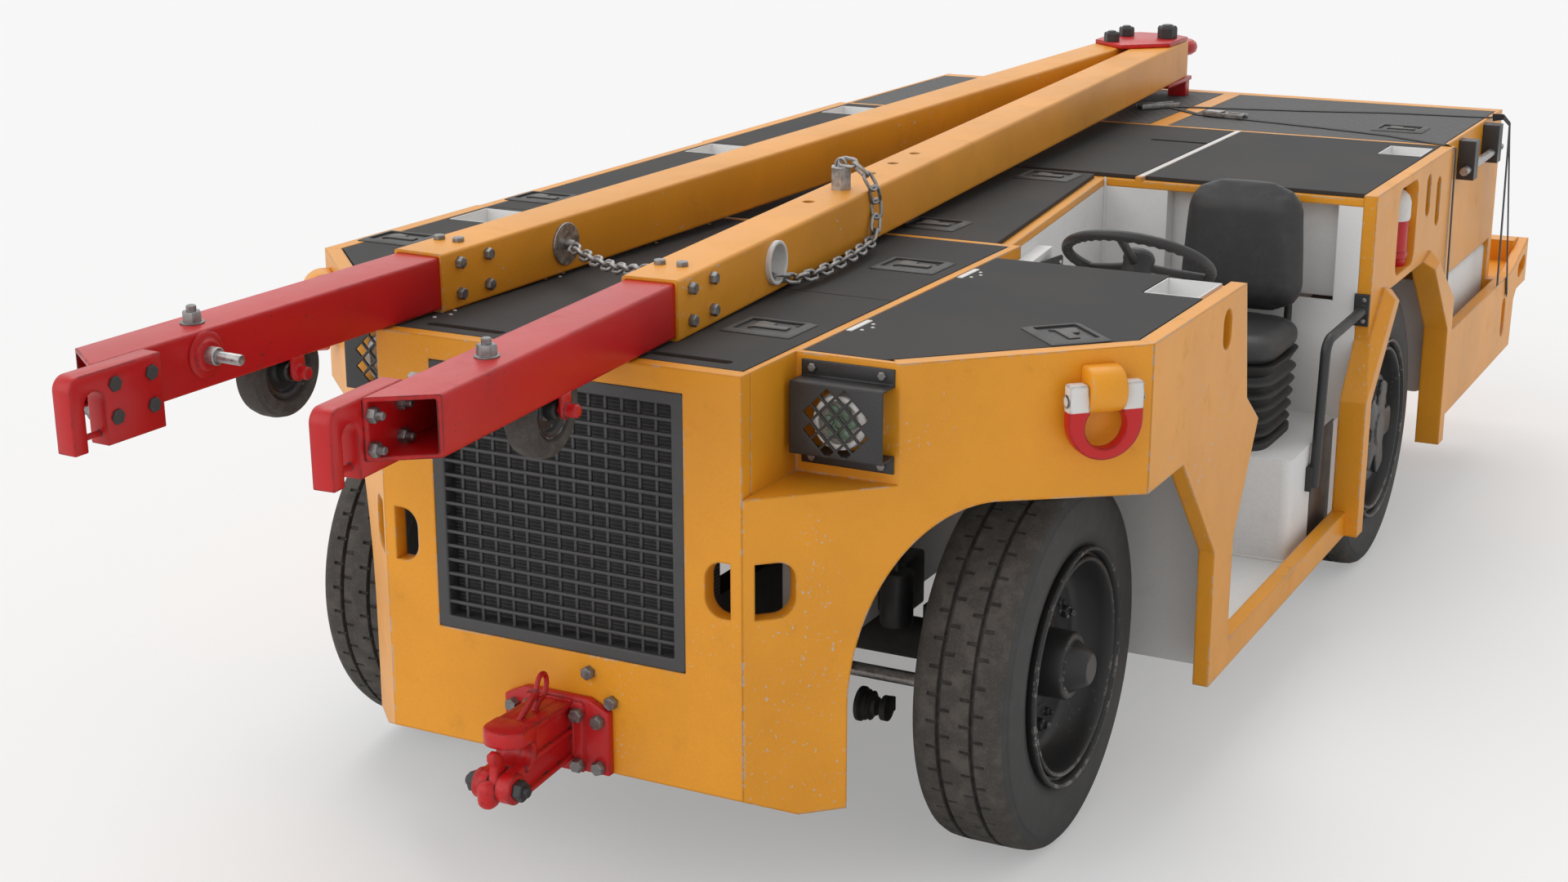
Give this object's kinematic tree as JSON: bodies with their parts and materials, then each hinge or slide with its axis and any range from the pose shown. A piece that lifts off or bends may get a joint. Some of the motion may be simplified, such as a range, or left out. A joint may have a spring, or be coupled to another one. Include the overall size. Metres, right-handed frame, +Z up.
{
  "type": "low four-wheel tow tractor with stowed tow bar",
  "caption": "Low yellow ramp tow tractor with side cab, anti-skid deck, steered front wheels, front hitch and a stowed A-frame tow bar.",
  "frame": {"origin": "on the floor under the middle of the bounding box", "axes": "+Z up, -Y to the front of the tractor, +X to the driver's left side"},
  "size_m": [2.204, 5.7966, 1.4115],
  "materials": {
    "yellow_paint": "orange-yellow paint, chipped at the edges",
    "red_paint": "gloss red paint, scuffed",
    "black_paint": "satin black paint",
    "grey_paint": "light grey paint",
    "deck_grip": "anti-skid coating",
    "steel": "bare and zinc-plated steel",
    "cast": "dark axle castings",
    "tyre_rubber": "dusty tread rubber",
    "lens": "clear lamp glass",
    "seat_vinyl": "black seat vinyl",
    "bellows_rubber": "rubber bellows",
    "black_plastic": "moulded black plastic"
  },
  "bodies": {
    "chassis": {"front_plate": "yellow_paint", "shoulder_left": "yellow_paint", "shoulder_right": "yellow_paint", "side_plate_left": "yellow_paint", "side_plate_right": "yellow_paint", "side_panel_right": "yellow_paint", "rear_side_left": "yellow_paint", "rear_side_right": "yellow_paint", "tail_frame": "yellow_paint", "deck_frame": "yellow_paint", "tie_down_lugs": "yellow_paint", "tow_bars": "yellow_paint", "shackles": "red_paint", "hitch_body": "red_paint", "tow_tubes": "red_paint", "tow_jaws": "red_paint", "tow_head": "red_paint", "hitch_pin": "red_paint", "lamp_guards": "black_paint", "grille": "black_paint", "radiator_core": "black_paint", "grab_rail": "black_paint", "steering_column": "black_paint", "rod_blocks": "black_paint", "cab_floor": "grey_paint", "cab_front_wall": "grey_paint", "cab_inner_wall": "grey_paint", "cab_rear_wall": "grey_paint", "seat_box": "grey_paint", "deck_pockets": "grey_paint", "side_tanks": "grey_paint", "instrument_panel": "grey_paint", "wheel_housings": "grey_paint", "deck_plates": "deck_grip", "side_rod": "steel", "frame_rails": "cast", "engine_block": "cast", "front_axle": "cast", "rear_axle": "cast", "lamp_lenses": "lens", "seat_cushion": "seat_vinyl", "seat_back": "seat_vinyl", "seat_suspension": "bellows_rubber"},
    "knuckle_left": {"knuckle_left": "cast"},
    "knuckle_right": {"knuckle_right": "cast"},
    "tie_rod": {"tie_rod": "steel"},
    "front_left_wheel": {"tyre_front_left": "tyre_rubber", "wheel_front_left": "black_paint"},
    "front_right_wheel": {"tyre_front_right": "tyre_rubber", "wheel_front_right": "black_paint"},
    "rear_left_wheel": {"tyre_rear_left": "tyre_rubber", "wheel_rear_left": "black_paint"},
    "rear_right_wheel": {"tyre_rear_right": "tyre_rubber", "wheel_rear_right": "black_paint"},
    "steering_wheel": {"steering_wheel": "black_plastic"},
    "locker_lid": {"locker_lid": "deck_grip"},
    "tow_wheel_left": {"tow_wheel_left": "tyre_rubber"},
    "tow_wheel_right": {"tow_wheel_right": "tyre_rubber"}
  },
  "joints": [
    {"name": "steer_left", "type": "hinge", "parent": "chassis", "child": "knuckle_left", "pos_m": [0.63, -1.16563, 0.419], "axis": [0, 0, 1], "range_deg": [-32, 32]},
    {"name": "steer_right", "type": "hinge", "parent": "chassis", "child": "knuckle_right", "pos_m": [-0.63, -1.16563, 0.419], "axis": [0, 0, 1], "range_deg": [-32, 32]},
    {"name": "tie_rod_pivot", "type": "hinge", "parent": "knuckle_left", "child": "tie_rod", "pos_m": [0.63, -1.31563, 0.419], "axis": [0, 0, 1], "range_deg": [-32, 32]},
    {"name": "steering_wheel_turn", "type": "hinge", "parent": "chassis", "child": "steering_wheel", "pos_m": [0.69, -0.26763, 1.15], "axis": [0, 0.5, 0.866], "range_deg": [-480, 480]},
    {"name": "front_left_spin", "type": "hinge", "parent": "knuckle_left", "child": "front_left_wheel", "pos_m": [0.774, -1.16563, 0.419], "axis": [1, 0, 0], "continuous": true},
    {"name": "front_right_spin", "type": "hinge", "parent": "knuckle_right", "child": "front_right_wheel", "pos_m": [-0.774, -1.16563, 0.419], "axis": [1, 0, 0], "continuous": true},
    {"name": "rear_left_spin", "type": "hinge", "parent": "chassis", "child": "rear_left_wheel", "pos_m": [0.906, 1.06737, 0.419], "axis": [1, 0, 0], "continuous": true},
    {"name": "rear_right_spin", "type": "hinge", "parent": "chassis", "child": "rear_right_wheel", "pos_m": [-0.906, 1.06737, 0.419], "axis": [1, 0, 0], "continuous": true},
    {"name": "locker_lid_hinge", "type": "hinge", "parent": "chassis", "child": "locker_lid", "pos_m": [0.447, -1.18763, 1.197], "axis": [0, -1, 0], "range_deg": [0, 85]},
    {"name": "tow_left_spin", "type": "hinge", "parent": "chassis", "child": "tow_wheel_left", "pos_m": [0.15124, -2.15748, 1.16711], "axis": [0.9985, 0.0554, 0], "continuous": true},
    {"name": "tow_right_spin", "type": "hinge", "parent": "chassis", "child": "tow_wheel_right", "pos_m": [-0.48124, -2.15748, 1.16711], "axis": [-0.9985, 0.0554, 0], "continuous": true}
  ],
  "couplings": [
    {"joint": "steer_right", "follows": "steer_left", "ratio": 1},
    {"joint": "tie_rod_pivot", "follows": "steer_left", "ratio": -1},
    {"joint": "steering_wheel_turn", "follows": "steer_left", "ratio": 15}
  ]
}
